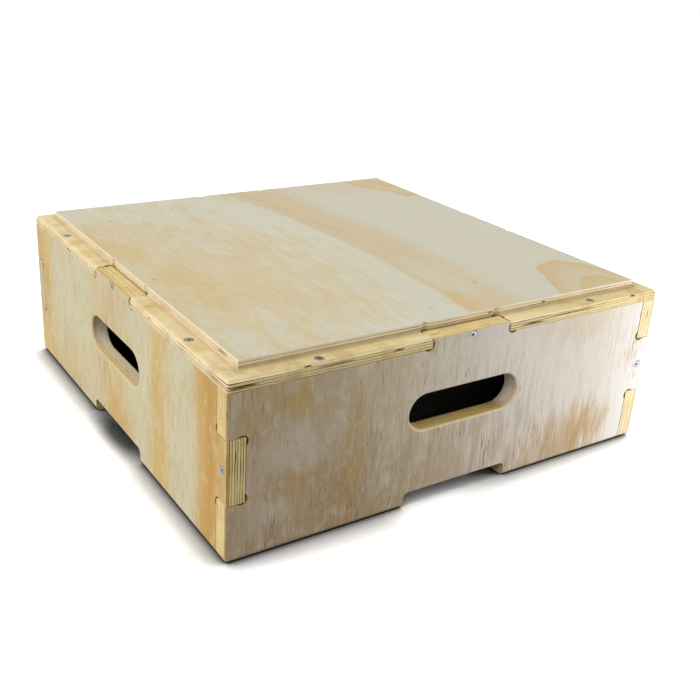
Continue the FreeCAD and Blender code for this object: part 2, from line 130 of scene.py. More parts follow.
def plywood(name, along, across, depth, seed, figure, tones, finish):
    """Seven plies with crossed grain.  along and across name the axes of the face grain, depth is
    (axis, sign, offset in mm) of the distance below the outer face, figure draws the outer ply,
    tones are the colour of its sanded arrises, a tint of the cut edges and the colour of the glue in
    those that face the front or the back, painted dark for the shade on them and, on the right wall,
    paler for the lamp, and finish changes the colour last.  The glue in the other edges is painted a
    lit gold."""
    arris_colour, edge_tint, front_back_glue_light = tones
    axis, sign, offset = depth
    material = bpy.data.materials.new(name)
    material.use_nodes = True
    tree = material.node_tree
    shader = tree.nodes["Principled BSDF"]
    place = new_node(tree, "ShaderNodeTexCoord").outputs["Object"]
    split = new_node(tree, "ShaderNodeSeparateXYZ", {0: place})
    facing = new_node(tree, "ShaderNodeNewGeometry").outputs["Normal"]
    tilt = new_node(tree, "ShaderNodeSeparateXYZ", {0: facing})
    level = {letter: math_of(tree, "MULTIPLY", split.outputs[letter], 1 / MM) for letter in "XYZ"}
    lean = {letter: math_of(tree, "ABSOLUTE", tilt.outputs[letter]) for letter in "XYZ"}
    below = math_of(tree, "MULTIPLY_ADD", level[axis], sign, offset)
    edge = step_of(tree, lean[axis], 0.55, 0.9, 1.0, 0.0)

    wander = grain_noise(tree, (60, 60, 60), level.values(), seed + 0.3)
    wander = math_of(tree, "MULTIPLY", math_of(tree, "SUBTRACT", wander, 0.5), edge)
    sunk = math_of(tree, "MULTIPLY_ADD", wander, PLY_WANDER, below)
    plies = math_of(tree, "DIVIDE", sunk, PLY)
    ply = math_of(tree, "MINIMUM", math_of(tree, "FLOOR", plies), LAST_PLY)
    ply = math_of(tree, "MAXIMUM", ply, 0.0)
    crossed = math_of(tree, "MODULO", ply, 2.0)
    ply_seed = math_of(tree, "MULTIPLY_ADD", ply, 3.7, seed)

    span = math_of(tree, "SUBTRACT", level[across], level[along])
    run = math_of(tree, "MULTIPLY_ADD", crossed, span, level[along])
    side = math_of(tree, "SUBTRACT", math_of(tree, "ADD", level[along], level[across]), run)
    lean_span = math_of(tree, "SUBTRACT", lean[across], lean[along])
    end_grain = math_of(tree, "MULTIPLY_ADD", crossed, lean_span, lean[along])
    end_grain = step_of(tree, end_grain, 0.35, 0.8, 0.0, 0.55)
    grain = (run, side, below)
    fibre = grain_noise(tree, (30, 1.3, 1.3), grain, ply_seed, 3.0, 0.65)
    streak = grain_noise(tree, (170, 22, 5), grain, math_of(tree, "ADD", ply_seed, 11.0), 3.0, 0.6)
    streaked = step_of(tree, streak, 0.36, 0.66)

    inner = blend_of(tree, streaked, CORE_DARK, CORE_PALE)
    inner = blend_of(tree, math_of(tree, "MULTIPLY", edge, 0.5), inner, CORE_EDGE)
    outer = figure(tree, level[along], level[across], seed)
    is_outer = math_of(tree, "LESS_THAN", ply, 0.5)
    wood = blend_of(tree, is_outer, inner, outer)
    is_last = math_of(tree, "GREATER_THAN", ply, LAST_PLY - 0.5)
    on_inside = math_of(tree, "MULTIPLY", is_last, math_of(tree, "SUBTRACT", 1.0, edge))
    wood = blend_of(tree, on_inside, wood, blend_of(tree, streaked, INSIDE_DARK, INSIDE_PALE))
    furrow = math_of(tree, "MULTIPLY_ADD", is_outer, -0.6, 1.0)
    furrow = math_of(tree, "MULTIPLY_ADD", step_of(tree, fibre, 0.28, 0.72, -0.15, 0.1), furrow, 1.0)
    wood = blend_of(tree, 1.0, wood, furrow, "MULTIPLY")
    cut_end = blend_of(tree, step_of(tree, fibre, 0.3, 0.7), END_DARK, END_PALE)
    wood = blend_of(tree, end_grain, wood, cut_end)

    from_ply_middle = math_of(tree, "SUBTRACT", math_of(tree, "FRACT", plies), 0.5)
    from_ply_middle = math_of(tree, "ABSOLUTE", from_ply_middle)
    patchy = grain_noise(tree, (34, 34, 34), level.values(), seed + 5.1)
    glue_start = step_of(tree, patchy, 0.35, 0.75, 0.4, 0.29)
    glue_line = step_of(tree, math_of(tree, "SUBTRACT", from_ply_middle, glue_start), 0.0, 0.04)
    glue_line = math_of(tree, "MULTIPLY", glue_line, edge)
    glue_strength = math_of(tree, "MULTIPLY", glue_line, step_of(tree, patchy, 0.3, 0.75, 0.6, 1.0))
    # Painted light and shade: lit gold glue in edges that face sideways or up, the panel's painted glue
    # colour in edges that face the front or back.
    glue_lit_and_shaded = blend_of(tree, step_of(tree, lean["Y"], 0.35, 0.75), GLUE_PAINTED_LIT_GOLD, front_back_glue_light)
    wood = blend_of(tree, glue_strength, wood, glue_lit_and_shaded)
    wood = blend_of(tree, edge, wood, edge_tint, "MULTIPLY")
    from_middle = math_of(tree, "ABSOLUTE", math_of(tree, "SUBTRACT", below, 0.5 * SHEET))
    sloping = step_of(tree, lean[axis], 0.15, 0.3)
    sloping = math_of(tree, "MULTIPLY", sloping, step_of(tree, lean[axis], 0.62, 0.8, 1.0, 0.0))
    arris = math_of(tree, "MULTIPLY", sloping, step_of(tree, from_middle, 8.0, 8.3, 0.0, 0.7))
    wood = blend_of(tree, arris, wood, arris_colour)
    wood = finish(tree, wood, level)

    relief = math_of(tree, "MULTIPLY_ADD", fibre, 0.5, math_of(tree, "MULTIPLY", streak, 0.3))
    relief = math_of(tree, "SUBTRACT", relief, math_of(tree, "MULTIPLY", glue_line, 0.8))
    raised = {"Height": relief, "Strength": 0.22, "Distance": GRAIN_RELIEF * MM}
    tree.links.new(new_node(tree, "ShaderNodeBump", raised).outputs[0], shader.inputs["Normal"])
    tree.links.new(wood, shader.inputs["Base Color"])
    tree.links.new(step_of(tree, fibre, 0.3, 0.7, 0.58, 0.72), shader.inputs["Roughness"])
    shader.inputs["Specular IOR Level"].default_value = 0.22
    return material


GRAIN_LINE = srgb(172, 130, 82)
GRAIN_FLECK = srgb(160, 122, 76)


def veneer(
    bands, patches, clouds, mottle, tints, flecks, frayed, crowds=(), bow=None, fade=0.2, quiet=None
):
    """Figure of a peeled outer ply.  bands are (place across the grain in mm, colour), patches are
    (along, across, half length, half width, colour, strength).  clouds, mottle and flecks are how
    strongly the large blotches, the small ones and the short brown flecks show, 0 to 1, and tints are
    the dark and pale colour of the blotches.  frayed scales the raggedness of the bands.  crowds are
    (along, across, half length, half width, more or fewer flecks), and bow is (middle along the grain
    in mm, bend) of bands that curve.  A patch starts to fade at that share of its reach, and quiet
    gives the places across the grain between which the blotches die down."""

    def figure(tree, along, across, seed):
        flat = (along, across, 0.0)
        sway = grain_noise(tree, (330, 120, 1), flat, seed + 1.7, 2.0, 0.45)
        ripple = grain_noise(tree, (60, 14, 1), flat, seed + 2.9, 3.0, 0.6)
        fray = grain_noise(tree, (34, 2.0, 1), flat, seed + 3.5, 2.0, 0.6)
        moved = shift_by(tree, across, sway, 34.0)
        moved = shift_by(tree, moved, ripple, 36.0 * frayed)
        moved = shift_by(tree, moved, fray, 32.0 * frayed)
        if bow:
            bow_middle, bend = bow
            bent = math_of(tree, "POWER", math_of(tree, "SUBTRACT", along, bow_middle), 2.0)
            moved = math_of(tree, "MULTIPLY_ADD", bent, bend, moved)
        share = math_of(tree, "MULTIPLY_ADD", moved, 0.5 / HALF_SIDE, 0.5)
        ramp = new_node(tree, "ShaderNodeValToRGB", {0: share})
        stops = ramp.color_ramp.elements
        stops[0].position = bands[0][0] * 0.5 / HALF_SIDE + 0.5
        stops[0].color = bands[0][1]
        stops[1].position = bands[-1][0] * 0.5 / HALF_SIDE + 0.5
        stops[1].color = bands[-1][1]
        for spot, colour in bands[1:-1]:
            stops.new(spot * 0.5 / HALF_SIDE + 0.5).color = colour
        wood = ramp.outputs[0]

        def reach_of(mid_along, mid_across, half_length, half_width):
            up = math_of(tree, "DIVIDE", math_of(tree, "SUBTRACT", along, mid_along), half_length)
            over = math_of(tree, "DIVIDE", math_of(tree, "SUBTRACT", moved, mid_across), half_width)
            return hypot_of(tree, up, over)

        for *place, colour, strength in patches:
            ragged = shift_by(tree, reach_of(*place), ripple, 1.6)
            ragged = shift_by(tree, ragged, fray, 1.4)
            wood = blend_of(tree, step_of(tree, ragged, fade, 1.2, strength, 0.0), wood, colour)

        calm = step_of(tree, across, *quiet, 1.0, 0.35) if quiet else 1.0
        dark, pale = tints
        for size, sort, strength in (((42, 25, 1), 4.3, clouds), ((14, 7, 1), 10.3, mottle)):
            blotch = grain_noise(tree, size, flat, seed + sort, 4.0, 0.66)
            stained = math_of(tree, "MULTIPLY", step_of(tree, blotch, 0.5, 0.68, 0.0, strength), calm)
            wood = blend_of(tree, stained, wood, dark)
            bleached = math_of(tree, "MULTIPLY", step_of(tree, blotch, 0.32, 0.48, strength, 0.0), calm)
            wood = blend_of(tree, bleached, wood, pale)

        lines = grain_noise(tree, (80, 2.4, 1), flat, seed + 6.1, 2.0, 0.5)
        lined = step_of(tree, lines, 0.54, 0.76, 0.0, 0.12 + 0.28 * flecks)
        wood = blend_of(tree, lined, wood, GRAIN_LINE)
        dash = grain_noise(tree, (17, 1.3, 1), flat, seed + 7.7, 1.0, 0.5)
        crowd = grain_noise(tree, (110, 40, 1), flat, seed + 8.3, 3.0, 0.6)
        for *place, more in crowds:
            crowd = math_of(tree, "ADD", crowd, step_of(tree, reach_of(*place), 0.3, 1.2, more, 0.0))
        fleck = step_of(tree, math_of(tree, "ADD", crowd, dash), 1.16, 1.28, 0.0, flecks)
        return blend_of(tree, fleck, wood, GRAIN_FLECK)

    return figure


PALE = srgb(206, 203, 184)
CREAM = srgb(209, 201, 172)
BUTTER = srgb(204, 196, 163)
TAN = srgb(204, 187, 148)
STREAK = srgb(207, 179, 122)
HONEY = srgb(198, 164, 104)
FAWN = srgb(206, 195, 173)
BISCUIT = srgb(185, 167, 139)
# Painted shade for the lower part of the front wall.
LOW_FRONT_SHADE = srgb(156, 132, 98)
BLUSH = srgb(217, 209, 198)
CHALK = srgb(225, 222, 216)
AMBER = srgb(188, 144, 72)
TOFFEE = srgb(179, 147, 98)
OLIVE = srgb(184, 155, 86)
RESIN = srgb(200, 134, 44)
GREY_TINTS = (srgb(184, 154, 108), srgb(220, 217, 204))
GOLD_TINTS = (srgb(190, 161, 104), srgb(213, 207, 176))

# The front wall's bands go from a greyish brown on the left to near white on the right, partly the
# veneer's tone and partly painted light: darker in the shade on the left, paler towards the lamp on the
# right.
front_figure = veneer(
    [(-250, BISCUIT), (-150, BISCUIT), (-60, FAWN), (30, BLUSH), (180, BLUSH), (250, CHALK)],
    [
        # Painted shade: the front wall is darker towards its foot.
        (0, -60, 130, 200, LOW_FRONT_SHADE, 0.6),
        (26, 158, 42, 50, TOFFEE, 0.7),
        (26, 160, 26, 22, TOFFEE, 0.6),
        (10, 116, 36, 50, TOFFEE, 0.5),
        (154, 150, 22, 60, TAN, 0.4),
        (60, -124, 120, 12, TOFFEE, 0.65),
        (62, -190, 22, 32, TOFFEE, 0.5),
        (146, -186, 22, 30, OLIVE, 0.6),
        (140, -228, 34, 20, OLIVE, 0.4),
        (98, -190, 26, 40, CHALK, 0.25),
        (38, -206, 16, 24, CHALK, 0.3),
        (13, -229, 3.4, 1.2, RESIN, 0.9),
    ],
    clouds=0.36,
    mottle=0.34,
    tints=GREY_TINTS,
    flecks=0.72,
    crowds=[
        (18, -190, 50, 56, 0.045),
        (70, -122, 100, 14, 0.04),
        (20, -40, 60, 90, 0.05),
        (80, 190, 120, 70, -0.08),
    ],
    frayed=0.7,
    quiet=(-80, 60),
)
right_figure = veneer(
    [(-250, CREAM), (-170, STREAK), (-90, CREAM), (20, PALE), (70, STREAK), (150, CREAM), (250, FAWN)],
    [(60, -60, 60, 26, HONEY, 0.4)],
    clouds=0.3,
    mottle=0.3,
    tints=GOLD_TINTS,
    flecks=0.4,
    frayed=0.7,
)
back_figure = veneer(
    [(-250, FAWN), (-140, CREAM), (-40, STREAK), (10, CREAM), (120, PALE), (190, STREAK), (250, CREAM)],
    [(110, 90, 46, 30, HONEY, 0.4)],
    clouds=0.35,
    mottle=0.3,
    tints=GREY_TINTS,
    flecks=0.45,
    frayed=0.7,
)
left_figure = veneer(
    [
        (-250, HONEY), (-222, AMBER), (-204, HONEY), (-180, BUTTER), (-142, BUTTER), (-122, STREAK),
        (-102, STREAK), (-82, BUTTER), (-50, BUTTER), (-20, TAN), (50, TAN), (80, BUTTER), (190, BUTTER),
        (210, STREAK), (250, STREAK),
    ],
    [
        (30, -4, 60, 44, STREAK, 0.7),
        (20, -8, 44, 42, HONEY, 0.9),
        (60, -112, 80, 14, HONEY, 0.55),
        (80, 219, 44, 13, OLIVE, 0.9),
        (110, 240, 90, 18, OLIVE, 0.45),
        (24, 140, 60, 110, TAN, 0.8),
        (14, 160, 50, 70, HONEY, 0.3),
    ],
    clouds=0.3,
    mottle=0.42,
    tints=GOLD_TINTS,
    flecks=0.4,
    crowds=[(90, -110, 60, 16, 0.06)],
    frayed=0.6,
)

SLOT_STRAIGHT = 46
SLOT_ROUND = 18.5
SLOT_LEVEL = 98.5
# Painted light: the pale colour inside the hand slots, strongest at their round ends.
SLOT_BOUNCE_LIGHT = srgb(232, 228, 216)
OCHRE = srgb(204, 172, 104)
SLOT_STREAK = srgb(160, 118, 66)


def slot_colour_and_light(across, lip, rim):
    """Colour of a hand slot with painted light: streaked, and paler inside, most of all at its round
    ends, where the pale stands in for light bounced into the slot, with a lip below of its own colour
    and a painted highlight along its rim."""
    through = {"X": "Y", "Y": "X"}[across]

    def finish(tree, wood, level):
        beside = math_of(tree, "SUBTRACT", math_of(tree, "ABSOLUTE", level[across]), SLOT_STRAIGHT)
        beside = math_of(tree, "MAXIMUM", beside, 0.0)
        over = math_of(tree, "SUBTRACT", level["Z"], SLOT_LEVEL)
        reach = math_of(tree, "SUBTRACT", hypot_of(tree, beside, over), SLOT_ROUND)
        at_end = step_of(tree, beside, 2.0, 12.0)
        # Painted light: the slot turns pale towards its round ends.
        bare = blend_of(tree, at_end, lip, SLOT_BOUNCE_LIGHT)
        below = math_of(tree, "SUBTRACT", HALF_SIDE, math_of(tree, "ABSOLUTE", level[through]))
        bare = blend_of(tree, step_of(tree, below, 2.0, 8.0, 0.7, 0.0), bare, OCHRE)
        grain = (level[across], level[through], level["Z"])
        streak = grain_noise(tree, (30, 1.6, 9), grain, 4.7, 2.0, 0.6)
        bare = blend_of(tree, step_of(tree, streak, 0.54, 0.7, 0.0, 0.5), bare, SLOT_STREAK)
        # Painted light: the inside of the slot takes this paler colour, more at its ends.
        lit_inside = math_of(tree, "MULTIPLY_ADD", at_end, 0.3, 0.5)
        lit_inside = math_of(tree, "MULTIPLY", lit_inside, step_of(tree, reach, 0.1, 0.5, 1.0, 0.0))
        wood = blend_of(tree, lit_inside, wood, bare)
        # Painted highlight along the rim of the slot.
        rim_highlight = step_of(tree, reach, 0.9, 1.8, 0.6, 0.0)
        rim_highlight = math_of(tree, "MULTIPLY", step_of(tree, reach, 0.1, 0.4), rim_highlight)
        return blend_of(tree, rim_highlight, wood, rim)

    return finish


def apply_modifier(piece, kind, **settings):
    modifier = piece.modifiers.new(kind.lower(), kind)
    for name, setting in settings.items():
        setattr(modifier, name, setting)
    bpy.ops.object.modifier_apply(modifier=modifier.name)


def only_select(piece):
    bpy.ops.object.select_all(action="DESELECT")
    piece.select_set(True)
    bpy.context.view_layer.objects.active = piece


def cut_panel(node_name, wood):
    """Copy of a panel as it leaves the router, with its faces whole."""
    panel = bpy.data.objects.new(node_name + "_panel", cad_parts[node_name].data.copy())
    bpy.context.scene.collection.objects.link(panel)
    panel.data.materials.clear()
    panel.data.materials.append(wood)
    only_select(panel)
    bpy.ops.object.mode_set(mode="EDIT")
    bpy.ops.mesh.select_all(action="SELECT")
    bpy.ops.mesh.remove_doubles(threshold=SAME_POINT)
    bpy.ops.mesh.dissolve_limited(angle_limit=math.radians(0.3))
    bpy.ops.mesh.select_all(action="DESELECT")
    bpy.ops.object.mode_set(mode="OBJECT")
    return panel


def lies_in(ends, axis, plane):
    """Whether an edge lies in a plane across the axis, on either side of the middle."""
    return all(abs(abs(end[axis]) - plane) < SAME_PLANE for end in ends)


def round_lower_edges(panel):
    """Rounds over the edges that stand on the floor, but not the inner ones or those of the gap."""
    kept_planes = ((HALF_SIDE - SHEET) * MM, FOOT_GAP_HALF * MM)
    mesh = panel.data
    for edge in mesh.edges:
        ends = [mesh.vertices[index].co for index in edge.vertices]
        on_floor = all(abs(end.z) < SAME_POINT for end in ends)
        kept = any(lies_in(ends, axis, plane) for axis in (0, 1) for plane in kept_planes)
        edge.select = on_floor and not kept
    only_select(panel)
    bpy.ops.object.mode_set(mode="EDIT")
    bpy.ops.mesh.select_mode(type="EDGE")
    bpy.ops.mesh.bevel(offset=FOOT_ROUND * MM, segments=4, affect="EDGES")
    bpy.ops.mesh.select_all(action="DESELECT")
    bpy.ops.object.mode_set(mode="OBJECT")


def sand_arrises(panel):
    """Takes the sharp edges off a panel."""
    only_select(panel)
    apply_modifier(
        panel, "BEVEL", width=ARRIS * MM, segments=2, limit_method="ANGLE", angle_limit=math.radians(38),
        use_clamp_overlap=False, miter_outer="MITER_ARC",
    )


def open_core_gaps(panel, gaps):
    """Cuts the gaps where strips of a core ply don't meet: (middle, length along each axis), in mm."""
    for number, (middle, size) in enumerate(gaps):
        bpy.ops.mesh.primitive_uv_sphere_add(segments=14, ring_count=8, radius=0.5 * MM)
        gap = bpy.context.active_object
        bpy.ops.object.mode_set(mode="EDIT")
        bpy.ops.mesh.select_all(action="SELECT")
        bpy.ops.transform.vertex_random(offset=0.16 * MM, seed=number + 3)
        bpy.ops.transform.resize(value=size, center_override=(0, 0, 0))
        bpy.ops.transform.translate(value=Vector(middle) * MM)
        bpy.ops.object.mode_set(mode="OBJECT")
        gap.data.materials.append(panel.data.materials[0])
        only_select(panel)
        apply_modifier(panel, "BOOLEAN", object=gap, operation="DIFFERENCE", solver="MANIFOLD")
        bpy.data.objects.remove(gap)


def finish_faces(panel):
    """Shades the rounded edges smooth and leaves the flat faces flat."""
    only_select(panel)
    bpy.ops.object.shade_smooth_by_angle(angle=math.radians(32))
    apply_modifier(panel, "WEIGHTED_NORMAL", weight=100, keep_sharp=True)


WALL_ARRIS = srgb(158, 104, 40)
EDGE_PLAIN = srgb(255, 255, 255)
EDGE_GOLD = srgb(255, 249, 216)
EDGE_GREY = srgb(230, 232, 230)
# Painted highlights for the rims of the hand slots.
PALE_RIM_HIGHLIGHT = srgb(226, 206, 164)
GOLD_RIM_HIGHLIGHT = srgb(204, 172, 108)
walls = {
    "front_wall": ("X", ("Y", 1.0, HALF_SIDE), 1.0, front_figure),
    "right_wall": ("Y", ("X", -1.0, HALF_SIDE), 21.0, right_figure),
    "back_wall": ("X", ("Y", -1.0, HALF_SIDE), 41.0, back_figure),
    "left_wall": ("Y", ("X", 1.0, HALF_SIDE), 61.0, left_figure),
}
# Colour of each slot's lip and the painted highlight on its rim.
slot_lip_and_rim_highlight = {
    "front_wall": (srgb(202, 170, 90), PALE_RIM_HIGHLIGHT),
    "right_wall": (srgb(212, 204, 176), GOLD_RIM_HIGHLIGHT),
    "back_wall": (srgb(206, 176, 96), PALE_RIM_HIGHLIGHT),
    "left_wall": (srgb(212, 204, 186), GOLD_RIM_HIGHLIGHT),
}
# Per panel: arris colour, tint of the cut edges, and the glue colour painted for the light on edges that
# face the front or back.
edge_tones = {
    "front_wall": (WALL_ARRIS, EDGE_GOLD, GLUE_PAINTED_SHADE),
    "right_wall": (WALL_ARRIS, EDGE_PLAIN, GLUE_PAINTED_LIT_TAN),
    "back_wall": (WALL_ARRIS, EDGE_GREY, GLUE_PAINTED_SHADE),
    "left_wall": (WALL_ARRIS, EDGE_GOLD, GLUE_PAINTED_SHADE),
}
wall_gaps = {
    "front_wall": [
        ((-38, -241.6, 171.6), (13, 1.5, 6)),
        ((-250, -238.6, 140), (5, 1.2, 11)),
        ((12, -242.2, 80.2), (20, 1.3, 6)),
        ((62.8, -241.4, 6.5), (6, 1.4, 7)),
    ],
    "right_wall": [
        ((238.8, -18, 171.6), (1.4, 16, 6)),
        ((241.6, -250, 146), (1.2, 5, 9)),
        ((241.8, 20, 80.2), (1.4, 16, 6)),
    ],
    "back_wall": [
        ((22, 241.4, 171.6), (15, 1.4, 6)),
        ((250, 238.8, 34), (5, 1.3, 12)),
        ((-16, 241.8, 80.2), (18, 1.4, 6)),
    ],
    "left_wall": [
        ((-241.4, -22, 171.6), (1.5, 14, 6)),
        ((-238.8, 24, 171.6), (1.2, 9, 6)),
        ((-241.6, -250, 104), (1.4, 6, 13)),
        ((-241.8, -14, 80.2), (1.4, 15, 6)),
    ],
}

for node_name, (across, depth, seed, figure) in walls.items():
    slot_light = slot_colour_and_light(across, *slot_lip_and_rim_highlight[node_name])
    tones = edge_tones[node_name]
    wood = plywood(node_name + "_plywood", "Z", across, depth, seed, figure, tones, slot_light)
    wall = cut_panel(node_name, wood)
    round_lower_edges(wall)
    sand_arrises(wall)
    open_core_gaps(wall, wall_gaps[node_name])
    finish_faces(wall)
    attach(wall, "root")
    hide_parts(node_name)

# Deck: one sheet of the same plywood with a rebate three plies deep, so that a raised square stands on
# a ledge, which lays bare the fourth ply.  Its face grain runs from front to back.  It lies on the
# walls, whose tabs fill a slot in each of its edges, and is screwed down.

DECK_TOP = 180
DECK_SEED = 81.0
RAISED_HALF = 231.5
LEDGE_START, LEDGE_END = 174, 176
RIM_START, RIM_END = 177.3, 177.7
CORE_LEVELS = ((HALF_SIDE, 162.5, 171.8), (RAISED_HALF, 172.9, 179.5))
KNOT = srgb(136, 92, 54)
DUN = srgb(202, 186, 154)
STRAW = srgb(209, 190, 146)
ASH = srgb(202, 198, 178)
LATE_WOOD = srgb(200, 172, 118)
GAP_SHADE = srgb(48, 35, 22)
EDGE_CREAM = srgb(255, 252, 228)
RAISED_RIM = srgb(222, 213, 192)
# Painted shade for the ledge along the foot of the raised square.
SQUARE_FOOT_SHADE = srgb(182, 162, 130)
LEDGE_BLOTCH = srgb(186, 161, 112)
# Pale colour of the deck's sanded arrises, partly their own colour and partly a painted highlight along
# them.
DECK_ARRIS_AND_HIGHLIGHT = srgb(236, 226, 202)

deck_figure = veneer(
    [
        (-250, PALE), (22, PALE), (29, DUN), (50, DUN), (58, TAN), (64, DUN), (74, DUN), (102, ASH),
        (250, ASH),
    ],
    [
        (-60, -231, 275, 205, STRAW, 0.72),
        (-200, -205, 36, 15, PALE, 0.75),
        (-194, -166, 34, 11, PALE, 0.65),
        (-206, -122, 26, 13, PALE, 0.55),
        (-140, -216, 22, 9, PALE, 0.55),
        (40, -120, 46, 12, PALE, 0.6),
        (-90, -96, 50, 9, PALE, 0.5),
        (-60, -190, 70, 24, STREAK, 0.5),
        (70, -206, 60, 20, STREAK, 0.5),
        (210, 60, 60, 50, DUN, 0.8),
        (230, 190, 70, 60, DUN, 0.35),
        (130, 44, 110, 6, HONEY, 0.28),
        (-95, 62, 44, 5, HONEY, 0.3),
        (-205, 36, 26, 12, STREAK, 0.6),
        (-140, 56, 60, 22, PALE, 0.4),
        (168, -163, 3, 1.7, KNOT, 0.6),
        (-30, -214, 4, 1.6, KNOT, 0.55),
        (-168, 78, 5, 1.5, KNOT, 0.5),
        (-206, -4, 5, 1.6, KNOT, 0.45),
    ],
    clouds=0.44,
    mottle=0.3,
    tints=(srgb(206, 184, 134), srgb(214, 211, 194)),
    flecks=0.05,
    frayed=0.35,
    quiet=(-70, 10),
    bow=(-60, 0.00038),
    fade=0.7,
)


def arched_grain(base, tip, middle, length, half_width, rings):
    """Adds nested arches, where the peeled ply cuts through a bow in the growth rings.  rings is how
    many of them there are to the length."""

    def figure(tree, along, across, seed):
        wood = base(tree, along, across, seed)
        flat = (along, across, 0.0)
        bend = grain_noise(tree, (60, 24, 1), flat, seed + 9.1 + 0.01 * tip, 3.0, 0.45)
        rise = math_of(tree, "DIVIDE", math_of(tree, "SUBTRACT", tip, along), length)
        over = math_of(tree, "DIVIDE", math_of(tree, "SUBTRACT", across, middle), half_width)
        arch = math_of(tree, "SUBTRACT", rise, math_of(tree, "POWER", over, 2.0))
        arch = shift_by(tree, arch, bend, 0.75)
        ring = math_of(tree, "FRACT", math_of(tree, "MULTIPLY", arch, rings))
        late_wood = step_of(tree, ring, 0.0, 0.85, 0.8, 0.36)
        late_wood = math_of(tree, "MULTIPLY", late_wood, step_of(tree, arch, 0.0, 0.08))
        return blend_of(tree, late_wood, wood, LATE_WOOD)

    return figure


def deck_colour_and_shade(tree, wood, level):
    """Painted shade inside the open gaps in the core, creamy edges at the front and back, a pale rim
    round the raised square, and a blotched ledge with painted shade along the foot of the square."""
    wide = math_of(tree, "ABSOLUTE", level["X"])
    deep = math_of(tree, "ABSOLUTE", level["Y"])
    from_middle = math_of(tree, "MAXIMUM", wide, deep)
    for side, lowest, highest in CORE_LEVELS:
        sunk = step_of(tree, math_of(tree, "SUBTRACT", side, from_middle), 1.6, 3.4, 0.0, 0.85)
        sunk = math_of(tree, "MULTIPLY", sunk, math_of(tree, "GREATER_THAN", level["Z"], lowest))
        sunk = math_of(tree, "MULTIPLY", sunk, math_of(tree, "LESS_THAN", level["Z"], highest))
        wood = blend_of(tree, sunk, wood, GAP_SHADE)
    creamy = step_of(tree, deep, HALF_SIDE - 1.0, HALF_SIDE - 0.4)
    wood = blend_of(tree, creamy, wood, EDGE_CREAM, "MULTIPLY")
    rim = step_of(tree, from_middle, RAISED_HALF - 0.9, RAISED_HALF - 0.3, 0.0, 0.6)
    rim = math_of(tree, "MULTIPLY", rim, step_of(tree, level["Z"], RIM_START, RIM_END))
    wood = blend_of(tree, rim, wood, RAISED_RIM)
    # Painted shade: the ledge darkens along the foot of the raised square, with a ragged edge.
    on_ledge = step_of(tree, level["Z"], LEDGE_START, LEDGE_END, 1.0, 0.0)
    drift = grain_noise(tree, (24, 24, 24), level.values(), 3.3, 3.0, 0.6)
    reach = math_of(tree, "SUBTRACT", from_middle, RAISED_HALF)
    reach = shift_by(tree, reach, drift, 9.0)
    foot_shade = math_of(tree, "MULTIPLY", step_of(tree, reach, 1.0, 7.0, 0.55, 0.0), on_ledge)
    wood = blend_of(tree, foot_shade, wood, SQUARE_FOOT_SHADE)
    blotch = grain_noise(tree, (30, 30, 30), level.values(), 7.9, 4.0, 0.65)
    blotch = math_of(tree, "MULTIPLY", step_of(tree, blotch, 0.48, 0.66, 0.0, 0.65), on_ledge)
    return blend_of(tree, blotch, wood, LEDGE_BLOTCH)


deck_gaps = [
    ((-236, -250, 165.8), (31, 15, 2.1)),
    ((-176, -250, 170.6), (9, 12, 1.7)),
    ((-148, -250, 168.2), (38, 8, 1.3)),
    ((-84, -250, 168.2), (13, 14, 1.8)),
    ((74, -250, 165.6), (26, 15, 2.0)),
    ((124, -250, 168.2), (74, 8, 1.2)),
    ((214, -250, 170.7), (9, 12, 1.6)),
    ((-250, -226, 165.8), (15, 24, 2.0)),
    ((-250, -96, 168.2), (13, 10, 1.7)),
    ((-250, 130, 165.7), (14, 16, 1.8)),
    ((-231.5, -204, 176.2), (11, 16, 1.8)),
    ((36, -231.5, 176.2), (7, 10, 1.5)),
    ((104, -231.5, 176.2), (6, 10, 1.4)),
    ((250, -150, 165.7), (14, 19, 1.9)),
    ((250, 92, 168.2), (13, 12, 1.6)),
    ((120, 250, 165.7), (21, 14, 1.9)),
    ((-170, 250, 168.2), (14, 12, 1.6)),
]
deck_figure = arched_grain(deck_figure, -145, 188, 68, 50, 1.15)
deck_figure = arched_grain(deck_figure, 107, 250, -115, 82, 1.9)
deck_depth = ("Z", -1.0, DECK_TOP)
deck_tones = (DECK_ARRIS_AND_HIGHLIGHT, EDGE_PLAIN, GLUE_PAINTED_SHADE)
deck_wood = plywood(
    "deck_plywood", "Y", "X", deck_depth, DECK_SEED, deck_figure, deck_tones, deck_colour_and_shade
)
deck = cut_panel("top_deck", deck_wood)
sand_arrises(deck)
open_core_gaps(deck, deck_gaps)
finish_faces(deck)
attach(deck, "root")
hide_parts("top_deck")

# Screws: sixteen countersunk wood screws of zinc-plated steel, each turned from wire with a rolled
# thread and a pressed cross recess.  Two hold the deck down on each wall, one goes through each tab
# into the deck's edge, and one pulls each corner together through its middle finger.

HEAD_RADIUS = 4.0
HEAD_RIM = 0.4
HEAD_CONE = 2.0
HEAD_ARRIS = 0.1
SHANK_RADIUS = 2.0
SHANK_LENGTH = 1.6
SHANK_TAPER = 0.6
CORE_RADIUS = 1.4
CORE_LENGTH = 29.4
POINT_LENGTH = 6.0
POINT_NARROWING = 0.06
THREAD_RADIUS = 0.5
THREAD_START = -4.4
THREAD_PITCH = 1.8
THREAD_TURNS = 16
THREAD_STEPS = 18
RECESS_SPAN = 4.6
RECESS_BLADE = 1.1
RECESS_DEPTH = 1.7
RECESS_NARROWING = (0.5, 0.75, 1)
RECESS_REACH = 2.6
RECESS_FLOOR, RECESS_BRIM = -1.9, -0.05
LID_SCREW_HALF = 160
SCREW_ROW = 241
LID_SCREW_TOP = 172.0
SIDE_SCREW_TOP = 249.7
TAB_SCREW_LEVEL = 167.15
CORNER_SCREW_LEVEL = 88.5
FIRST_TWIST, TWIST_STEP = 20, 37
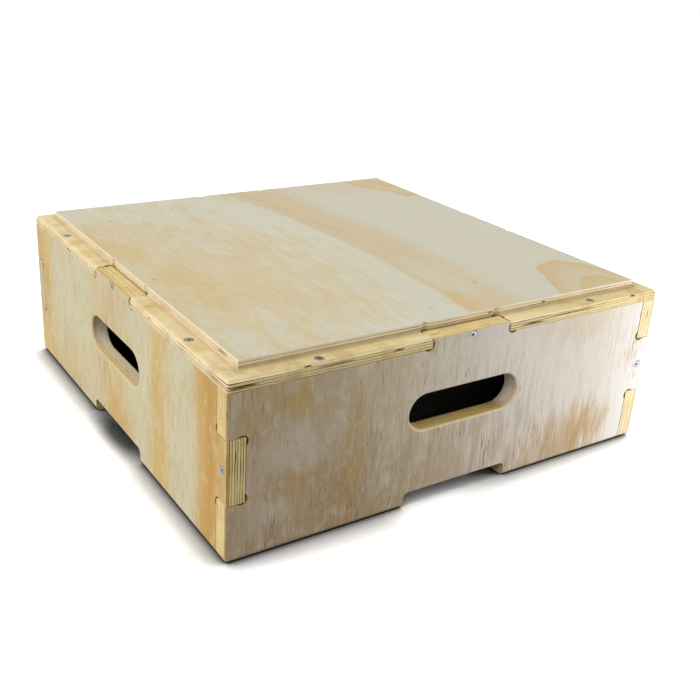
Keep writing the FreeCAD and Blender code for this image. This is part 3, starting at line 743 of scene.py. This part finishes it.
DENT_DEPTH = 0.05
ZINC_DARK = srgb(120, 124, 131)
ZINC_PALE = srgb(160, 164, 170)
RECESS_SHADE = srgb(74, 66, 60)


def select_lower_face(piece):
    """Opens a piece for editing with only its lowest face selected."""
    bpy.ops.object.mode_set(mode="EDIT")
    bpy.ops.mesh.select_mode(type="FACE")
    bpy.ops.mesh.select_all(action="DESELECT")
    bpy.ops.object.mode_set(mode="OBJECT")
    for face in piece.data.polygons:
        face.select = face.normal.z < -0.9
    bpy.ops.object.mode_set(mode="EDIT")


def draw_down(length, narrowing):
    """Draws the selected end of a turned piece further down and narrows it."""
    bpy.ops.mesh.extrude_region_move(TRANSFORM_OT_translate={"value": (0, 0, -length * MM)})
    bpy.ops.transform.resize(value=(narrowing, narrowing, 1))


bpy.ops.mesh.primitive_cylinder_add(
    vertices=40, radius=HEAD_RADIUS * MM, depth=HEAD_RIM * MM, location=(0, 0, -0.5 * HEAD_RIM * MM)
)
screw = bpy.context.active_object
bpy.ops.object.transform_apply(location=True)
select_lower_face(screw)
draw_down(HEAD_CONE, SHANK_RADIUS / HEAD_RADIUS)
draw_down(SHANK_LENGTH, 1.0)
draw_down(SHANK_TAPER, CORE_RADIUS / SHANK_RADIUS)
draw_down(CORE_LENGTH, 1.0)
draw_down(POINT_LENGTH, POINT_NARROWING)
bpy.ops.object.mode_set(mode="OBJECT")

for turn in (0, 90):
    bpy.ops.mesh.primitive_cube_add(size=1)
    blade = bpy.context.active_object
    bpy.ops.object.mode_set(mode="EDIT")
    bpy.ops.mesh.select_all(action="SELECT")
    bpy.ops.transform.resize(value=(RECESS_SPAN * MM, RECESS_BLADE * MM, 2 * RECESS_DEPTH * MM))
    bpy.ops.object.mode_set(mode="OBJECT")
    select_lower_face(blade)
    bpy.ops.transform.resize(value=RECESS_NARROWING)
    bpy.ops.object.mode_set(mode="OBJECT")
    blade.rotation_euler.z = math.radians(turn)
    bpy.ops.object.transform_apply(rotation=True)
    only_select(screw)
    apply_modifier(screw, "BOOLEAN", object=blade, operation="DIFFERENCE", solver="MANIFOLD")
    bpy.data.objects.remove(blade)
apply_modifier(
    screw, "BEVEL", width=HEAD_ARRIS * MM, segments=2, limit_method="ANGLE", angle_limit=math.radians(40)
)

recess = screw.data.attributes.new("recess", "FLOAT", "FACE")
for face in screw.data.polygons:
    near = math.hypot(face.center.x, face.center.y) < RECESS_REACH * MM
    sunk = RECESS_FLOOR * MM < face.center.z < RECESS_BRIM * MM
    recess.data[face.index].value = float(near and sunk)

bpy.ops.mesh.primitive_circle_add(vertices=3, radius=THREAD_RADIUS * MM, location=(0, 0, 0))
thread = bpy.context.active_object
bpy.ops.object.mode_set(mode="EDIT")
bpy.ops.mesh.select_all(action="SELECT")
for axis in "XY":
    bpy.ops.transform.rotate(value=math.radians(90), orient_axis=axis, center_override=(0, 0, 0))
bpy.ops.object.mode_set(mode="OBJECT")
tip_reach = max(corner.co.x for corner in thread.data.vertices)
bpy.ops.object.mode_set(mode="EDIT")
bpy.ops.transform.translate(value=(SHANK_RADIUS * MM - tip_reach, 0, THREAD_START * MM))
bpy.ops.object.mode_set(mode="OBJECT")
apply_modifier(
    thread, "SCREW", axis="Z", angle=2 * math.pi, screw_offset=-THREAD_PITCH * MM,
    iterations=THREAD_TURNS, steps=THREAD_STEPS, render_steps=THREAD_STEPS,
)
bpy.ops.object.mode_set(mode="EDIT")
bpy.ops.mesh.select_all(action="SELECT")
bpy.ops.mesh.fill_holes(sides=0)
bpy.ops.mesh.select_all(action="SELECT")
bpy.ops.mesh.normals_make_consistent(inside=False)
bpy.ops.object.mode_set(mode="OBJECT")
only_select(screw)
thread.select_set(True)
bpy.ops.object.join()
bpy.ops.object.shade_smooth_by_angle(angle=math.radians(35))

zinc = bpy.data.materials.new("zinc_plate")
zinc.use_nodes = True
plating = zinc.node_tree
steel = plating.nodes["Principled BSDF"]
steel.inputs["Metallic"].default_value = 1.0
place = new_node(plating, "ShaderNodeTexCoord").outputs["Object"]
spangle = new_node(plating, "ShaderNodeTexNoise", {"Vector": place, "Scale": 900.0, "Detail": 3.0})
scuff = new_node(plating, "ShaderNodeTexNoise", {"Vector": place, "Scale": 5200.0, "Detail": 2.0})
shade = step_of(plating, spangle.outputs[0], 0.35, 0.65)
shade = blend_of(plating, shade, ZINC_DARK, ZINC_PALE)
pressed = new_node(plating, "ShaderNodeAttribute", attribute_name="recess").outputs["Fac"]
shade = blend_of(plating, pressed, shade, RECESS_SHADE)
plating.links.new(shade, steel.inputs["Base Color"])
rough = step_of(plating, spangle.outputs[0], 0.3, 0.7, 0.32, 0.5)
plating.links.new(rough, steel.inputs["Roughness"])
dents = {"Height": scuff.outputs[0], "Strength": 0.2, "Distance": DENT_DEPTH * MM}
plating.links.new(new_node(plating, "ShaderNodeBump", dents).outputs[0], steel.inputs["Normal"])
screw.data.materials.clear()
screw.data.materials.append(zinc)

upright = Matrix.Identity(4)
lying = Matrix.Rotation(math.radians(90), 4, "X")
screw_seats = {
    "lid_screws": [
        ((-LID_SCREW_HALF, -SCREW_ROW, LID_SCREW_TOP), upright),
        ((LID_SCREW_HALF, -SCREW_ROW, LID_SCREW_TOP), upright),
    ],
    "tab_screw": [((0, -SIDE_SCREW_TOP, TAB_SCREW_LEVEL), lying)],
    "corner_screw": [((SCREW_ROW, -SIDE_SCREW_TOP, CORNER_SCREW_LEVEL), lying)],
}
twist = FIRST_TWIST
for quarter, side in enumerate(("front", "right", "back", "left")):
    around = Matrix.Rotation(math.radians(90 * quarter), 4, "Z")
    for group, seats in screw_seats.items():
        driven = []
        for seat, lean in seats:
            fastener = bpy.data.objects.new(f"{side}_{group}_zinc", screw.data.copy())
            bpy.context.scene.collection.objects.link(fastener)
            drive = Matrix.Rotation(math.radians(twist), 4, "Z")
            fastener.data.transform(around @ Matrix.Translation(Vector(seat) * MM) @ lean @ drive)
            driven.append(fastener)
            twist += TWIST_STEP
        only_select(driven[0])
        for fastener in driven[1:]:
            fastener.select_set(True)
            bpy.ops.object.join()
        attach(driven[0], "root")
        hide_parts(f"{side}_{group}")
bpy.data.objects.remove(screw)

# Floor: a sheet of white studio paper, laid flat.  Its colour holds a painted shadow beside and under
# the box, darkened by how open the floor lies there and leant so that it is deeper on the left and
# front, besides the real shadow that the lamps throw.  It is white to the camera and dark to other
# light, so that it throws little back on the walls.  Each painted spot, darker at the left gap and
# paler at the front gap, is (middle, half size, tone).

PAPER_BOUNCE = 0.14
CREVICE_REACH = 34
CONTACT_REACH = 12
UNDER_REACH = 300
SHADE_LEAN = (0.4, 0.2, 0.88)
PAINTED_SHADE_AND_LIGHT_SPOTS = (((-0.245, 0.0), (0.021, 0.07), 0.1), ((-0.035, -0.25), (0.05, 0.03), 1.5))


def seen_directly(tree):
    """1 for what the camera, a mirror image or a see-through piece shows, and 0 for other light."""
    path = new_node(tree, "ShaderNodeLightPath")
    seen = math_of(tree, "MAXIMUM", path.outputs["Is Camera Ray"], path.outputs["Is Glossy Ray"])
    return math_of(tree, "MAXIMUM", seen, path.outputs["Is Transmission Ray"])


def openness(tree, **inputs):
    """How open the floor lies within a distance: 1 in the clear and less beside or under a piece."""
    return new_node(tree, "ShaderNodeAmbientOcclusion", inputs, samples=8).outputs["AO"]


bpy.ops.mesh.primitive_plane_add(size=12, location=(0, 0, 0))
floor = bpy.context.active_object
floor.name = "studio_floor"
paper = bpy.data.materials.new("studio_paper")
paper.use_nodes = True
sweep = paper.node_tree
leant = new_node(sweep, "ShaderNodeCombineXYZ", dict(enumerate(SHADE_LEAN))).outputs[0]
# Painted shadow: the paper darkens as the box closes it in, near the walls, at their feet and under the
# box.
crevice = openness(sweep, Distance=CREVICE_REACH * MM, Normal=leant)
contact = openness(sweep, Distance=CONTACT_REACH * MM)
under = openness(sweep, Distance=UNDER_REACH * MM)
white = step_of(sweep, crevice, 0.3, 0.95, 0.3, 1.3)
white = math_of(sweep, "MULTIPLY", white, step_of(sweep, contact, 0.3, 0.8, 0.2, 1.0))
white = math_of(sweep, "MULTIPLY", white, step_of(sweep, under, 0.1, 0.5))
place = new_node(sweep, "ShaderNodeTexCoord").outputs["Object"]
ground = new_node(sweep, "ShaderNodeSeparateXYZ", {0: place})
# Painted spots: darker at the left gap, paler at the front gap.
for middle, half, tone in PAINTED_SHADE_AND_LIGHT_SPOTS:
    spread = []
    for axis in (0, 1):
        away = math_of(sweep, "SUBTRACT", ground.outputs[axis], middle[axis])
        spread.append(math_of(sweep, "DIVIDE", away, half[axis]))
    spot = step_of(sweep, hypot_of(sweep, *spread), 0.3, 1.4, tone, 1.0)
    white = math_of(sweep, "MULTIPLY", white, spot)
brighter = math_of(sweep, "SUBTRACT", white, PAPER_BOUNCE)
brighter = math_of(sweep, "MULTIPLY", seen_directly(sweep), brighter)
tone = math_of(sweep, "ADD", brighter, PAPER_BOUNCE)
sheet = new_node(sweep, "ShaderNodeBsdfDiffuse", {"Color": tone})
sweep.links.new(sheet.outputs[0], sweep.nodes["Material Output"].inputs["Surface"])
sweep.nodes.remove(sweep.nodes["Principled BSDF"])
floor.data.materials.append(paper)

# Light: an even white room, a large soft window high on the left and a small lamp low on the right of
# the front.  The lamps don't show, and the background is plain white.

ROOM_WHITE = (1.0, 1.0, 1.0, 1.0)
ROOM_LIGHT = 0.44

world = bpy.context.scene.world or bpy.data.worlds.new("room")
bpy.context.scene.world = world
world.use_nodes = True
room = world.node_tree
room.nodes.clear()
even = new_node(room, "ShaderNodeBackground", {"Color": ROOM_WHITE, "Strength": ROOM_LIGHT})
backdrop = new_node(room, "ShaderNodeBackground", {"Color": ROOM_WHITE, "Strength": 1.0})
shown = {0: seen_directly(room), 1: even.outputs[0], 2: backdrop.outputs[0]}
both = new_node(room, "ShaderNodeMixShader", shown)
new_node(room, "ShaderNodeOutputWorld", {"Surface": both.outputs[0]})


def aimed(name, lamp, place, target):
    """Hangs a lamp at a place, out of the camera's sight, and turns it to its target."""
    holder = bpy.data.objects.new(name, lamp)
    bpy.context.scene.collection.objects.link(holder)
    holder.location = place
    holder.rotation_euler = (Vector(target) - Vector(place)).to_track_quat("-Z", "Y").to_euler()
    holder.visible_camera = False
    return holder


window = bpy.data.lights.new("window_light", "SUN")
window.energy = 2.85
window.angle = math.radians(60)
aimed("window_light", window, (-1.34, 0.1, 1.06), (0, 0, 0))
lamp = bpy.data.lights.new("low_lamp", "AREA")
lamp.shape = "SQUARE"
lamp.size = 0.2
lamp.energy = 3.6
aimed("low_lamp", lamp, (0.6, -0.55, 0.13), (0.15, -0.25, 0.09)).visible_glossy = False

# Camera: a little above the box and off its near left corner, as in the photograph.  Its place, lens,
# shift and angles were fitted to corners of the box there.

CAMERA_DIP = 23.3275
CAMERA_TURN = -33.0565
CAMERA_ROLL = 3.0868

lens = bpy.data.cameras.new("viewpoint")
lens.lens = 48.397
lens.sensor_width = 36
lens.shift_x = 0.0497
lens.shift_y = -0.0176
viewpoint = bpy.data.objects.new("viewpoint", lens)
bpy.context.scene.collection.objects.link(viewpoint)
viewpoint.location = (-0.5518, -0.8346, 0.4969)
viewpoint.rotation_mode = "QUATERNION"
aim = Euler((math.radians(90 - CAMERA_DIP), 0, math.radians(CAMERA_TURN))).to_quaternion()
viewpoint.rotation_quaternion = aim @ Quaternion((0, 0, 1), math.radians(CAMERA_ROLL))
bpy.context.scene.camera = viewpoint

bpy.context.scene.view_settings.view_transform = "Standard"
